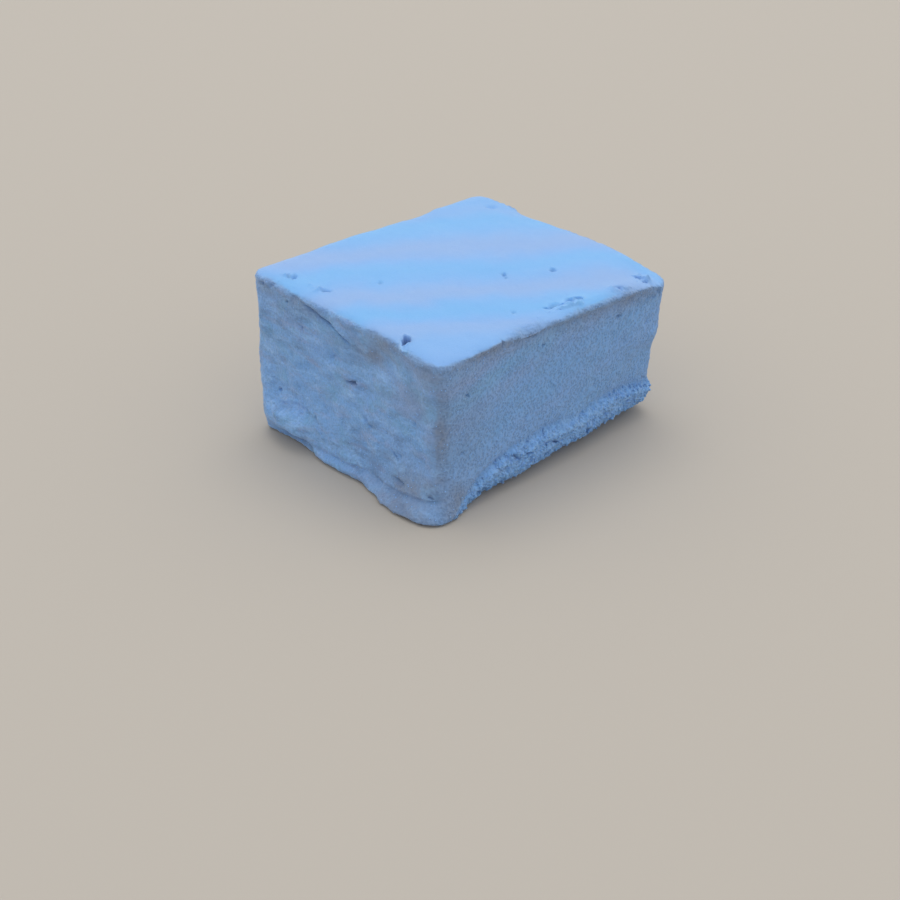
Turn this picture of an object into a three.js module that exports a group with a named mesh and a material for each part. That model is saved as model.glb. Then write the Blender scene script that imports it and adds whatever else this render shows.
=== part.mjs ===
// A hand-cut block of poured marshmallow, one solid, in millimetres.
//
// The slab was poured, left to set and cut by hand, so the block is a lopsided cuboid: its cut sides lean
// and waver, the poured skin on top forms a thin lip over them, and the knife has dragged a rough ledge of
// foam along the foot of some sides. +Z is up and the flat base lies on z = 0. The -Y side and the +X side
// meet at the front corner; the origin is under the middle of the block.

import * as THREE from "three";
import { mergeVertices } from "three/addons/utils/BufferGeometryUtils.js";

// Driving dimensions.
const WIDTH = 46.4; // along X, between the cut sides
const DEPTH = 55.2; // along Y, between the cut sides
const HEIGHT = 28.7; // thickness of the poured slab

// The four corners. top and base say how far each stands out from the plain cuboid along X and Y, rise is
// how much thicker the slab is there, and round is the radius of the corner in plan at its base and its top.
const CORNERS = {
  front: { side: [1, -1], top: [-0.1, -0.4], base: [1.4, 1.9], rise: 0.4, round: [4.0, 2.0] },
  left: { side: [-1, -1], top: [0.8, 0.3], base: [-1.7, 0.3], rise: 2.1, round: [2.6, 2.8] },
  right: { side: [1, 1], top: [1.3, 0.9], base: [-2.8, 0.1], rise: -0.3, round: [3.4, 3.8] },
  back: { side: [-1, 1], top: [0.4, 0.9], base: [-1.4, -0.2], rise: 0.4, round: [3.6, 2.4] },
};

// The sides keep the plan of the top down to this share of the height, and only then draw in to the base.
const DRAWN_IN = 0.42;

// The rounded top and bottom edges: how far the rounding reaches in from the side, and how far down.
const TOP_EDGE = { inward: 1.8, down: 1.1 };
const BASE_EDGE = { inward: 0.7, down: 0.6 };

// The top is slightly domed and uneven. Its right-hand corner sags, and its back rim dips.
const CROWN = 0.5;
const TOP_WAVER = 0.25;
const SAG = { drop: 1.8, reach: 6.5 };
const DIP = { drop: 0.8, middle: -11.5, reach: 5.5, from: 20, to: 28 };

// The poured skin stands out over the cut sides by LIP.out, just below the top edge.
const LIP = { out: 0.25, below: 1.0, thick: 0.8 };

// The middle of the block, out to this share of its plan, keeps clear of the sides' unevenness.
const CORE = 0.7;

// Lines of the mesh: the count along each flat stretch, and the steps of each rounded edge. In plan the
// lines crowd together over the last CROWDED millimetres at the corners.
const LINES = { x: 16, y: 20, z: 15 };
const ROUND_STEPS = 3;
const CROWDED = 3;

const HALF = { x: WIDTH / 2, y: DEPTH / 2 };
const clamp = THREE.MathUtils.clamp;
const mix = THREE.MathUtils.lerp;
const smooth = THREE.MathUtils.smoothstep;

// A hump of height 1 round middle, which has faded out at about twice reach.
function hump(value, middle, reach) {
  return Math.exp(-(((value - middle) / reach) ** 2));
}

// The slow unevenness of a hand-cut face, about -1 to 1, for a place (along, up) on the face.
function waver(along, up, seed) {
  return (
    0.5 * Math.sin(0.19 * along + 0.11 * up + 1.7 * seed) +
    0.3 * Math.sin(0.37 * along - 0.29 * up + 2.9 * seed) +
    0.2 * Math.sin(0.71 * along + 0.53 * up + 4.3 * seed)
  );
}

// A ledge of dragged foam: 1 under its shoulder, which is at height top, and 0 above it.
function ledge(up, top, shoulder) {
  return 1 - smooth(up, top - shoulder, top + shoulder);
}

// The height of a ragged ledge that climbs from low to high between the places from and to.
function raggedTop(along, low, high, from, to) {
  const ragged = 0.3 * Math.sin(0.62 * along) + 0.2 * Math.sin(1.13 * along + 2);
  return mix(low, high, smooth(along, from, to)) + ragged;
}

// How far each cut side stands out at a place along it and up it. Along runs with +X or +Y.
const SIDES = {
  // the -Y side: a pad at the foot of its left end, a lip that spreads at the base towards the front corner,
  // a hollow under the skin, and a bulge at the left corner
  front: (x, z) =>
    1.9 * hump(x, -17, 6.5) * ledge(z, 7.0, 1.8) * smooth(z, 0.4, 3.4) +
    (0.3 * smooth(x, -16, -4) + 2.5 * smooth(x, 2, 18)) * ledge(z, 2.0, 1.8) -
    0.9 * hump(x, 6.5, 7) * hump(z, 22.5, 3.6) -
    0.5 * hump(x, 12, 9) * hump(z, 6, 3.5) +
    0.8 * smooth(-x, 14, 22) * hump(z, 11.5, 4) +
    0.4 * waver(x, z, 1),
  // the +X side: almost flat, over a ragged ledge that grows from the front corner to the far end, is
  // undercut at the base and has two lumps; the far end is hollow under a bulge
  right: (y, z) =>
    (0.4 + 1.3 * smooth(y, -24, 2)) * ledge(z, raggedTop(y, 3.0, 7.0, -22, -2), 1.2) +
    0.9 * smooth(-y, 20, 27) * ledge(z, 2.0, 1.8) -
    3.9 * smooth(y, -26, -11) * ledge(z, 1.2, 1.8) +
    (1.0 * hump(y, -9, 5) + 0.9 * hump(y, 7.5, 3)) * ledge(z, 2.5, 1.8) -
    1.7 * smooth(y, 2, 27) * hump(z, 11, 6.5) +
    smooth(y, 16, 26) * (0.7 * hump(z, 16.5, 2) - 0.6 * hump(z, 21, 3)) +
    0.25 * waver(y, z, 2),
  // the -X side: a low, ragged ledge
  left: (y, z) =>
    1.4 * ledge(z, raggedTop(y, 3.4, 5.4, -20, 18), 1.4) -
    0.5 * hump(y, 8, 12) * hump(z, 15, 6) +
    0.4 * waver(y, z, 3),
  // the +Y side: a ledge that fades half way along, and a shallow hollow
  back: (x, z) =>
    1.6 * (1 - smooth(x, -8, 12)) * ledge(z, raggedTop(x, 4.4, 3.2, -20, 8), 1.4) -
    1.6 * smooth(x, 8, 23) * hump(z, 11, 6.5) -
    0.7 * hump(x, -2, 10) * hump(z, 14, 6) +
    0.4 * waver(x, z, 4),
};

// A corner value such as rise, spread evenly over the plan. a and b run from -1 to 1 along X and Y.
function spread(a, b, valueOf) {
  let total = 0;
  for (const corner of Object.values(CORNERS)) {
    const [sx, sy] = corner.side;
    total += ((1 + sx * a) / 2) * ((1 + sy * b) / 2) * valueOf(corner);
  }
  return total;
}

// Places the point that is d1 and d2 inside an edge's two faces on its ellipse, which has radii r1 and r2.
function roundEdge(d1, d2, r1, r2) {
  const u = Math.max(0, 1 - d1 / r1);
  const v = Math.max(0, 1 - d2 / r2);
  if (u === 0 || v === 0) return { d1, d2, n1: u > 0 ? 1 : 0, n2: v > 0 ? 1 : 0 };
  const length = Math.hypot(u, v);
  const outer = Math.max(u, v);
  return {
    d1: r1 * (1 - (u / length) * outer),
    d2: r2 * (1 - (v / length) * outer),
    n1: u / length,
    n2: v / length,
  };
}

// The plan of the block at a share c of its height, where (a, b) lies on the edge of the unit square.
function outline(a, b, c) {
  const sx = Math.sign(a) || 1;
  const sy = Math.sign(b) || 1;
  const corner = Object.values(CORNERS).find((k) => k.side[0] === sx && k.side[1] === sy);
  const [atBase, atTop] = corner.round;
  const radius = mix(atBase, atTop, smooth(c, 0, DRAWN_IN));
  const edge = roundEdge(HALF.x * (1 - Math.abs(a)), HALF.y * (1 - Math.abs(b)), radius, radius);
  const onX = Math.abs(a) === 1 ? 1 : 0;
  const inCorner = edge.n1 > 0 && edge.n2 > 0;
  return {
    a: sx * (1 - edge.d1 / HALF.x),
    b: sy * (1 - edge.d2 / HALF.y),
    normal: inCorner ? [sx * edge.n1, sy * edge.n2] : [sx * onX, sy * (1 - onX)],
  };
}

// How far the side stands out at a place with that plan normal.
function sideOffset(x, y, z, [nx, ny]) {
  const across = nx > 0 ? SIDES.right(y, z) : SIDES.left(y, z);
  const along = ny > 0 ? SIDES.back(x, z) : SIDES.front(x, z);
  return nx * nx * across + ny * ny * along;
}

// A point of the block, from its place on the surface of a unit box: a and b from -1 to 1, c from 0 to 1.
function blockPoint(a, b, c) {
  const ring = Math.max(Math.abs(a), Math.abs(b));
  const inward = (1 - ring) * HALF.x;
  const band = c > 0.5 ? TOP_EDGE : BASE_EDGE;
  const fromEnd = HEIGHT * (c > 0.5 ? 1 - c : c);
  const edge = roundEdge(inward, fromEnd, band.inward, band.down);
  const level = c > 0.5 ? 1 - edge.d2 / HEIGHT : edge.d2 / HEIGHT;
  const share = 1 - edge.d1 / HALF.x;

  const rim = ring > 0 ? outline(a / ring, b / ring, level) : { a: 0, b: 0, normal: [0, 0] };
  const pa = rim.a * share;
  const pb = rim.b * share;
  const upright = smooth(level, 0, DRAWN_IN);
  const standOut = (k, axis) => k.side[axis] * mix(k.base[axis], k.top[axis], upright);
  const x = pa * HALF.x + spread(pa, pb, (k) => standOut(k, 0));
  const y = pb * HALF.y + spread(pa, pb, (k) => standOut(k, 1));

  const dome = CROWN * (1 - pa * pa) * (1 - pb * pb) + TOP_WAVER * waver(x, y, 5);
  const sag = SAG.drop * hump(Math.hypot(x - HALF.x, y - HALF.y), 0, SAG.reach);
  const dip = DIP.drop * hump(x, DIP.middle, DIP.reach) * smooth(y, DIP.from, DIP.to);
  const top = HEIGHT + spread(pa, pb, (k) => k.rise) + dome - sag - dip;
  const z = level * top;

  const lip = LIP.out * (1 + 0.5 * waver(x + y, x - y, 6)) * hump(z, top - LIP.below, LIP.thick);
  const out = (sideOffset(x, y, z, rim.normal) + lip) * smooth(share, CORE, 1);
  return new THREE.Vector3(x + rim.normal[0] * out, y + rim.normal[1] * out, z);
}

// Where line i of n + 2 * ROUND_STEPS lies from -1 to 1: crowded over each rounded end, and even between.
function lineAt(i, n, half, radius) {
  const last = n + 2 * ROUND_STEPS;
  const fromEnd = Math.min(i, last - i);
  const inset = radius / half;
  const towards = 2 * i < last ? -1 : 1;
  if (fromEnd < ROUND_STEPS) {
    const turn = Math.tan(((1 - fromEnd / ROUND_STEPS) * Math.PI) / 4);
    return towards * (1 - inset * (1 - turn));
  }
  return mix(-1 + inset, 1 - inset, (i - ROUND_STEPS) / n);
}

function marshmallowGeometry() {
  const lines = [LINES.x, LINES.y, LINES.z].map((n) => n + 2 * ROUND_STEPS);
  const box = new THREE.BoxGeometry(2, 2, 2, ...lines);
  const at = box.getAttribute("position");
  const point = new THREE.Vector3();
  for (let i = 0; i < at.count; i++) {
    point.fromBufferAttribute(at, i);
    const index = point.toArray().map((value, k) => Math.round(((value + 1) / 2) * lines[k]));
    const a = lineAt(index[0], LINES.x, HALF.x, CROWDED);
    const b = lineAt(index[1], LINES.y, HALF.y, CROWDED);
    const c = (lineAt(index[2], LINES.z, HEIGHT / 2, TOP_EDGE.down) + 1) / 2;
    const made = blockPoint(clamp(a, -1, 1), clamp(b, -1, 1), clamp(c, 0, 1));
    at.setXYZ(i, made.x, made.y, made.z);
  }
  box.deleteAttribute("normal");
  box.deleteAttribute("uv");
  const merged = mergeVertices(box, 1e-3);
  merged.computeBoundingBox();
  const middle = merged.boundingBox.getCenter(new THREE.Vector3());
  merged.translate(-middle.x, -middle.y, 0);
  merged.computeVertexNormals();
  return merged;
}

const block = new THREE.Group();
const marshmallow = new THREE.Mesh(
  marshmallowGeometry(),
  new THREE.MeshStandardMaterial({ color: 0xa9c6ea, roughness: 0.92, metalness: 0 }),
);
marshmallow.name = "marshmallow";
block.add(marshmallow);

export default block;
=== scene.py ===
# A hand-cut block of poured marshmallow: blue sugar foam marbled with lilac pink and dusted with icing sugar.
#
# The poured skin on top is smooth. The knife has left the cut sides rough, with burst bubbles, a fold under
# the skin, and a ragged ledge of dragged foam at the foot. Three pieces make the sweet: the block itself, the
# loose crumbs of foam on its ledges, and the grains of icing sugar on its cut sides and in thick patches.
#
# +Z is up, and the -Y side and the +X side meet at the front corner. Tables of marks are in millimetres.

import math
import random

import bmesh
import bpy
import numpy as np
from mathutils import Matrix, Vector, noise


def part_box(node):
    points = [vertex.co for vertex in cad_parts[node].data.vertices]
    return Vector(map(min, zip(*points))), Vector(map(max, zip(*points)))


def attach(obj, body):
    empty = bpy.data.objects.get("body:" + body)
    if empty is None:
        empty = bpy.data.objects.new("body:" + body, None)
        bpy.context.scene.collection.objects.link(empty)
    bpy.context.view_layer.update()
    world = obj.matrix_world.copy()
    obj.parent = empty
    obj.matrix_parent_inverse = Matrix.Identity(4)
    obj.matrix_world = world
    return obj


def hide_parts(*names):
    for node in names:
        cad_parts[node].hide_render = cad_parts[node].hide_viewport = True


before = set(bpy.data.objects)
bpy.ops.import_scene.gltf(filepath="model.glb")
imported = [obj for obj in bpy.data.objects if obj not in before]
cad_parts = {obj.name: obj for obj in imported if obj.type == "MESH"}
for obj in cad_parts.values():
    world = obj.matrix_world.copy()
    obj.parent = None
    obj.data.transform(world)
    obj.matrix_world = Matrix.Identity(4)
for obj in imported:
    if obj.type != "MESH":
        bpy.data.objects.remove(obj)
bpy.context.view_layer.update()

MM = 0.001
LOW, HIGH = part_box("marshmallow")

# How finely the block is meshed. Round small marks the step is halved once, and round crisp, deep ones twice.
MESH_STEP = 0.48 * MM

# ---------------------------------------------------------------------------------------------------------
# Small helpers
# ---------------------------------------------------------------------------------------------------------


def smooth(value, low, high):
    """0 below low, 1 above high, and a soft step between them."""
    share = np.clip((value - low) / (high - low), 0.0, 1.0)
    return share * share * (3.0 - 2.0 * share)


def hump(value, middle, reach):
    """A hump of height 1 round middle, faded out at about twice reach."""
    return np.exp(-(((value - middle) / reach) ** 2))


def add_node(tree, kind, inputs=None, **settings):
    """Adds a node to a tree. inputs maps each socket to a value, or to the socket that it comes from."""
    made = tree.nodes.new(kind)
    for name, value in settings.items():
        setattr(made, name, value)
    for name, value in (inputs or {}).items():
        if isinstance(value, bpy.types.NodeSocket):
            tree.links.new(value, made.inputs[name])
        else:
            made.inputs[name].default_value = value
    return made


def sums(tree, operation, first, second=0.0, third=0.0, clamp=False):
    """A Math node of either kind of tree, and its result."""
    terms = {0: first, 1: second, 2: third}
    return add_node(tree, "ShaderNodeMath", terms, operation=operation, use_clamp=clamp).outputs[0]


def soft_step(tree, value, low, high):
    """A Map Range node that rises softly from 0 at low to 1 at high."""
    limits = {"Value": value, "From Min": low, "From Max": high}
    ranged = add_node(tree, "ShaderNodeMapRange", limits, interpolation_type="SMOOTHSTEP")
    return ranged.outputs["Result"]


def new_group(name, kind, inputs, outputs):
    """An empty node group with the given sockets, each a (name, socket type, default), and its two ends."""
    tree = bpy.data.node_groups.new(name, kind)
    for in_out, sockets in (("INPUT", inputs), ("OUTPUT", outputs)):
        for title, socket_type, default in sockets:
            made = tree.interface.new_socket(title, in_out=in_out, socket_type=socket_type)
            if default is not None:
                made.default_value = default
    start = tree.nodes.new("NodeGroupInput")
    end = tree.nodes.new("NodeGroupOutput")
    return tree, start.outputs, end.inputs


def add_object(name, mesh):
    made = bpy.data.objects.new(name, mesh)
    bpy.context.scene.collection.objects.link(made)
    return made


def baked(piece):
    """Turns a piece with live modifiers into a plain mesh."""
    graph = bpy.context.evaluated_depsgraph_get()
    mesh = bpy.data.meshes.new_from_object(piece.evaluated_get(graph), depsgraph=graph)
    piece.modifiers.clear()
    old = piece.data
    piece.data = mesh
    mesh.name = piece.name
    bpy.data.meshes.remove(old)
    return piece


def with_nodes(piece, tree, values):
    """Runs a Geometry Nodes tree on a piece, with the named inputs set, and keeps the result."""
    modifier = piece.modifiers.new(tree.name, "NODES")
    modifier.node_group = tree
    sockets = {s.name: s.identifier for s in tree.interface.items_tree if s.in_out == "INPUT"}
    for name, value in values.items():
        modifier[sockets[name]] = value
    return baked(piece)


def read_points(mesh, name="position"):
    """A mesh's vertex positions, normals or other vector attribute, as an array of rows."""
    source = mesh.vertex_normals if name == "normal" else mesh.attributes[name].data
    values = np.empty(len(mesh.vertices) * 3, np.float32)
    source.foreach_get("vector", values)
    return values.reshape(-1, 3).astype(float)


def write_mask(mesh, name, values):
    """Stores a 0 to 1 mask on the vertices, under a name that materials and node trees can read."""
    if name not in mesh.attributes:
        mesh.attributes.new(name, "FLOAT", "POINT")
    mesh.attributes[name].data.foreach_set("value", np.clip(values, 0.0, 1.0).astype(np.float32))


def read_mask(mesh, name):
    values = np.empty(len(mesh.vertices), np.float32)
    mesh.attributes[name].data.foreach_get("value", values)
    return values.astype(float)


# ---------------------------------------------------------------------------------------------------------
# Stage: camera, light and floor
# ---------------------------------------------------------------------------------------------------------

CAMERA_AZIMUTH = math.radians(45.86)
CAMERA_ELEVATION = math.radians(29.75)
CAMERA_DISTANCE = 365.1 * MM
CAMERA_LENS = 80.0  # mm, on a 36 mm wide sensor
CAMERA_AIM = Vector((0.28, -2.15, -5.19)) * MM  # the point that lies at the middle of the picture

FLOOR_RADIUS = 3.0
FLOOR_GAP = 0.02 * MM
OVERHEAD_PLACE = (-0.25, 0.25, 1.1)
OVERHEAD_SIZE = 1.0
OVERHEAD_POWER = 3.9
ROOM_LIGHT = 0.91
PALE_CARD = (0.46, 0.43, 0.39, 1.0)


def add_camera():
    lens = bpy.data.cameras.new("camera")
    lens.lens = CAMERA_LENS
    lens.sensor_width = 36.0
    lens.clip_start = 0.01
    camera = add_object("camera", lens)
    flat = math.cos(CAMERA_ELEVATION)
    sideways = math.sin(CAMERA_AZIMUTH) * flat
    forwards = -math.cos(CAMERA_AZIMUTH) * flat
    back = Vector((sideways, forwards, math.sin(CAMERA_ELEVATION)))
    camera.location = CAMERA_AIM + back * CAMERA_DISTANCE
    camera.rotation_euler = back.to_track_quat("Z", "Y").to_euler()
    bpy.context.scene.camera = camera


def add_lights():
    overhead = bpy.data.lights.new("overhead_softbox", "AREA")
    overhead.shape = "DISK"
    overhead.size = OVERHEAD_SIZE
    overhead.energy = OVERHEAD_POWER
    overhead.color = (1.0, 0.985, 0.96)
    softbox = add_object("overhead_softbox", overhead)
    softbox.location = OVERHEAD_PLACE
    softbox.rotation_euler = Vector(softbox.location).to_track_quat("Z", "Y").to_euler()

    world = bpy.data.worlds.new("pale_room")
    world.use_nodes = True
    background = world.node_tree.nodes["Background"]
    background.inputs["Color"].default_value = (1.0, 0.985, 0.965, 1.0)
    background.inputs["Strength"].default_value = ROOM_LIGHT
    bpy.context.scene.world = world


def add_floor():
    shape = bmesh.new()
    bmesh.ops.create_circle(shape, cap_ends=True, segments=96, radius=FLOOR_RADIUS)
    bmesh.ops.translate(shape, verts=shape.verts, vec=(0.0, 0.0, -FLOOR_GAP))
    mesh = bpy.data.meshes.new("floor")
    shape.to_mesh(mesh)
    shape.free()
    floor = add_object("floor", mesh)
    finish = bpy.data.materials.new("pale_card")
    finish.use_nodes = True
    card = finish.node_tree.nodes["Principled BSDF"]
    card.inputs["Base Color"].default_value = PALE_CARD
    card.inputs["Roughness"].default_value = 0.85
    floor.data.materials.append(finish)


# ---------------------------------------------------------------------------------------------------------
# The block's surfaces, and the marks on them
# ---------------------------------------------------------------------------------------------------------

# Each side has the direction it faces, the direction that "along" runs in, and the direction of "up".
SIDES = {
    "top": (Vector((0, 0, 1)), Vector((1, 0, 0)), Vector((0, 1, 0))),
    "front": (Vector((0, -1, 0)), Vector((1, 0, 0)), Vector((0, 0, 1))),
    "right": (Vector((1, 0, 0)), Vector((0, 1, 0)), Vector((0, 0, 1))),
    "back": (Vector((0, 1, 0)), Vector((1, 0, 0)), Vector((0, 0, 1))),
    "left": (Vector((-1, 0, 0)), Vector((0, 1, 0)), Vector((0, 0, 1))),
}


class Mark:
    """A pit, slit, dent or nub on one side of the block.

    along and up place its middle in millimetres: up is the place along Y on the top, and the depth below the
    top edge on the other sides. size is its half length and half width, turn the angle of its length in
    degrees, and depth how far it goes in, which is negative for a nub that stands out. edge is how far out
    its flat floor reaches, where 1 is its outline, and a soft dent has none.
    """

    def __init__(self, side, along, up, size, depth, turn=0.0, edge=0.35):
        self.side = side
        self.along = along
        self.up = up
        self.size = size
        self.depth = depth
        self.turn = math.radians(turn)
        self.edge = edge

    def distance(self, places):
        """How far each place is from the middle, where 1 is the mark's outline."""
        x = places[:, 0] - self.along
        y = places[:, 1] - self.up
        long_way = (x * math.cos(self.turn) + y * math.sin(self.turn)) / self.size[0]
        cross_way = (y * math.cos(self.turn) - x * math.sin(self.turn)) / self.size[1]
        bearing = np.arctan2(cross_way, long_way)
        start = 1.7 * self.along + 2.3 * self.up
        ragged = 1.0 + 0.10 * np.sin(3.0 * bearing + start) + 0.10 * np.sin(5.0 * bearing - start)
        return np.hypot(long_way, cross_way) / ragged


MARKS = [
    # burst bubbles in the poured skin
    Mark("top", 10.3, 13.3, (1.0, 0.7), 0.45, -45),
    Mark("top", 6.1, 5.4, (0.9, 0.5), 0.5, -50, 0.2),
    Mark("top", 7.1, 4.8, (0.6, 0.4), 0.3, -30, 0.0),
    Mark("top", -5.5, -13.3, (1.1, 0.6), 0.3, -45, 0.0),
    Mark("top", 17.2, -3.7, (0.9, 0.6), 0.3, -45, 0.0),
    Mark("top", -17.3, 25.8, (1.6, 1.2), 0.5, 60, 0.0),
    # torn flakes of skin along the +X rim and at its far corner, each with a split beside it
    Mark("top", 21.7, 4.4, (2.4, 0.7), -0.5, 76, 0.3),
    Mark("top", 20.5, 3.8, (2.2, 0.38), 0.55, 72, 0.2),
    Mark("top", 21.0, 8.3, (1.0, 0.6), 0.8, 50, 0.3),
    Mark("top", 22.4, 7.0, (1.2, 0.5), -0.45, 80, 0.2),
    Mark("top", 19.8, 1.6, (0.9, 0.4), 0.45, 30, 0.2),
    Mark("top", 21.6, 25.0, (1.3, 0.6), -0.5, 30, 0.2),
    Mark("top", 20.6, 24.0, (1.2, 0.4), 0.5, 35, 0.2),
    Mark("top", 22.3, 24.2, (0.7, 0.5), 0.6, 60, 0.3),
    Mark("top", 22.8, 18.6, (1.4, 0.5), -0.35, 80, 0.2),
    Mark("top", 22.0, 17.0, (1.6, 0.35), 0.35, 75, 0.2),
    # the deep hole at the rim, with a white nub under it
    Mark("top", 13.0, -24.4, (1.35, 0.85), 2.0, -45, 0.5),
    Mark("front", 13.9, 0.7, (1.5, 0.8), -0.6, 5, 0.2),
    # the -Y side: slits and burst bubbles
    Mark("front", 0.9, 12.4, (1.6, 0.36), 1.1, -6, 0.3),
    Mark("front", 1.6, 13.3, (1.8, 0.6), -0.35, -5, 0.0),
    Mark("front", -17.5, 21.1, (0.7, 0.35), 0.5, -10),
    Mark("front", -19.2, 19.3, (0.4, 0.3), 0.3, 0, 0.2),
    Mark("front", -12.2, 18.3, (0.45, 0.3), 0.3, 40, 0.2),
    Mark("front", -14.3, 2.6, (0.5, 0.4), 0.4, 0, 0.2),
    Mark("front", -11.1, 6.5, (0.4, 0.5), 0.4, 0, 0.2),
    Mark("front", 4.6, 17.9, (1.0, 0.38), 0.55, 10, 0.2),
    Mark("front", 6.2, 18.6, (0.8, 0.32), 0.5, 16, 0.2),
    Mark("front", 12.0, 21.8, (1.2, 0.32), 0.5, 32, 0.2),
    Mark("front", 12.9, 21.3, (0.8, 0.26), 0.35, 38, 0.2),
    Mark("front", 13.8, 25.7, (2.0, 0.45), 0.7, 8, 0.1),
    Mark("front", 21.4, 25.4, (0.7, 0.35), 0.5, 0),
    Mark("front", -20.6, 1.3, (1.0, 0.5), 0.4, 0, 0.1),
    Mark("front", -18.4, 1.0, (0.9, 0.5), 0.35, -20, 0.1),
    Mark("front", -4.0, 9.6, (0.9, 0.35), 0.3, -50, 0.1),
    Mark("front", 16.6, 13.8, (0.5, 0.35), 0.3),
    # soft dents and swells on the -Y side, where the sugared foam was handled
    Mark("front", -2.7, 9.5, (3.4, 2.6), 0.6, 0, 0.0),
    Mark("front", -9.0, 13.7, (4.8, 3.0), 0.5, 20, 0.0),
    Mark("front", 8.5, 9.7, (3.6, 2.4), -0.5, 0, 0.0),
    Mark("front", 2.0, 14.6, (3.4, 2.0), -0.45, -15, 0.0),
    Mark("front", -5.5, 19.6, (4.6, 2.2), 0.5, 30, 0.0),
    Mark("front", 7.0, 21.5, (4.2, 2.6), -0.4, 35, 0.0),
    Mark("front", 9.8, 4.8, (4.0, 2.4), 0.5, 20, 0.0),
    Mark("front", 5.0, 5.6, (2.6, 2.0), -0.4, -30, 0.0),
    # the mound at the left of its foot
    Mark("front", -13.4, 25.2, (5.8, 3.0), -1.7, 4, 0.25),
    # the +X side: a few burst bubbles, and gaps under the ledge
    Mark("right", -19.9, 8.0, (0.55, 0.38), 0.6),
    Mark("right", -2.5, 4.3, (0.5, 0.38), 0.4),
    Mark("right", 16.0, 4.4, (0.8, 0.36), 0.6, 10),
    Mark("right", -21.1, 18.4, (0.5, 0.38), 0.4),
    Mark("right", 11.1, 16.5, (1.3, 0.9), 0.25, 0, 0.0),
    Mark("right", -9.0, 23.0, (1.4, 0.5), 0.7, 25, 0.1),
    Mark("right", -5.9, 23.4, (1.1, 0.45), 0.6, 10, 0.1),
    Mark("right", 1.0, 24.0, (1.2, 0.4), 0.6, 30, 0.1),
    Mark("right", 4.4, 23.2, (0.9, 0.4), 0.5, -20, 0.1),
    Mark("right", 14.0, 23.4, (1.2, 0.4), 0.5, 15, 0.1),
    Mark("right", 20.5, 23.0, (1.0, 0.4), 0.45, 5, 0.1),
    Mark("right", -16.4, 27.6, (1.9, 0.8), 1.6, 10, 0.2),
    Mark("right", -12.2, 27.5, (1.2, 0.7), 1.1, 20, 0.2),
    Mark("right", -4.0, 27.4, (1.5, 0.5), 0.8, 15, 0.2),
    Mark("right", 7.9, 26.8, (1.6, 0.7), 1.1, 15, 0.2),
    Mark("right", 9.8, 25.2, (1.1, 0.9), 1.2, 50, 0.2),
    Mark("right", 20.0, 26.8, (1.6, 0.6), 0.8, 10, 0.2),
    # the dip and the nick in the +X rim
    Mark("top", 23.4, -6.4, (4.6, 1.5), 0.9, 90, 0.1),
    Mark("right", -11.8, 1.0, (0.4, 0.9), 0.4, 0, 0.1),
    # the sides away from the front corner
    Mark("back", -12.4, 8.0, (1.1, 0.5), 0.7, 25),
    Mark("back", 5.6, 14.5, (0.8, 0.5), 0.6),
    Mark("back", 13.6, 7.0, (0.6, 0.5), 0.5),
    Mark("back", -4.4, 19.0, (1.5, 0.5), 0.8, -15, 0.2),
    Mark("back", 1.6, 5.0, (0.5, 0.4), 0.4),
    Mark("back", -10.0, 13.0, (4.6, 3.2), 0.6, 20, 0.0),
    Mark("back", 9.0, 18.0, (4.4, 2.8), -0.5, -20, 0.0),
    Mark("left", -14.5, 9.0, (0.9, 0.5), 0.6, 10),
    Mark("left", 3.5, 16.0, (1.3, 0.4), 0.7, -20, 0.2),
    Mark("left", 17.5, 11.0, (0.7, 0.5), 0.5),
    Mark("left", -5.5, 4.5, (0.5, 0.4), 0.4),
    Mark("left", 10.5, 22.5, (1.2, 0.7), 0.8, 10),
    Mark("left", 12.0, 8.0, (4.6, 2.8), 0.6, 15, 0.0),
    Mark("left", -10.0, 17.0, (4.8, 3.0), -0.5, 10, 0.0),
]

# Torn patches of skin, each a (side, along, up, half length, half width, turn, count of pits and nubs).
TORN_PATCHES = [
    ("top", 21.0, 5.2, 3.8, 1.0, 76, 12),
    ("top", 21.3, 24.4, 1.6, 1.2, 40, 6),
    ("top", 22.5, 16.8, 2.0, 0.9, 62, 5),
    ("top", -10.6, -22.8, 2.4, 0.9, 8, 6),
    ("top", -16.3, -23.6, 2.0, 0.9, 8, 6),
    ("right", 24.5, 2.2, 2.4, 1.6, 0, 10),
    ("back", -16.4, 2.5, 3.4, 1.4, 0, 9),
    ("left", 16.5, 2.0, 3.0, 1.2, 0, 7),
]


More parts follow.
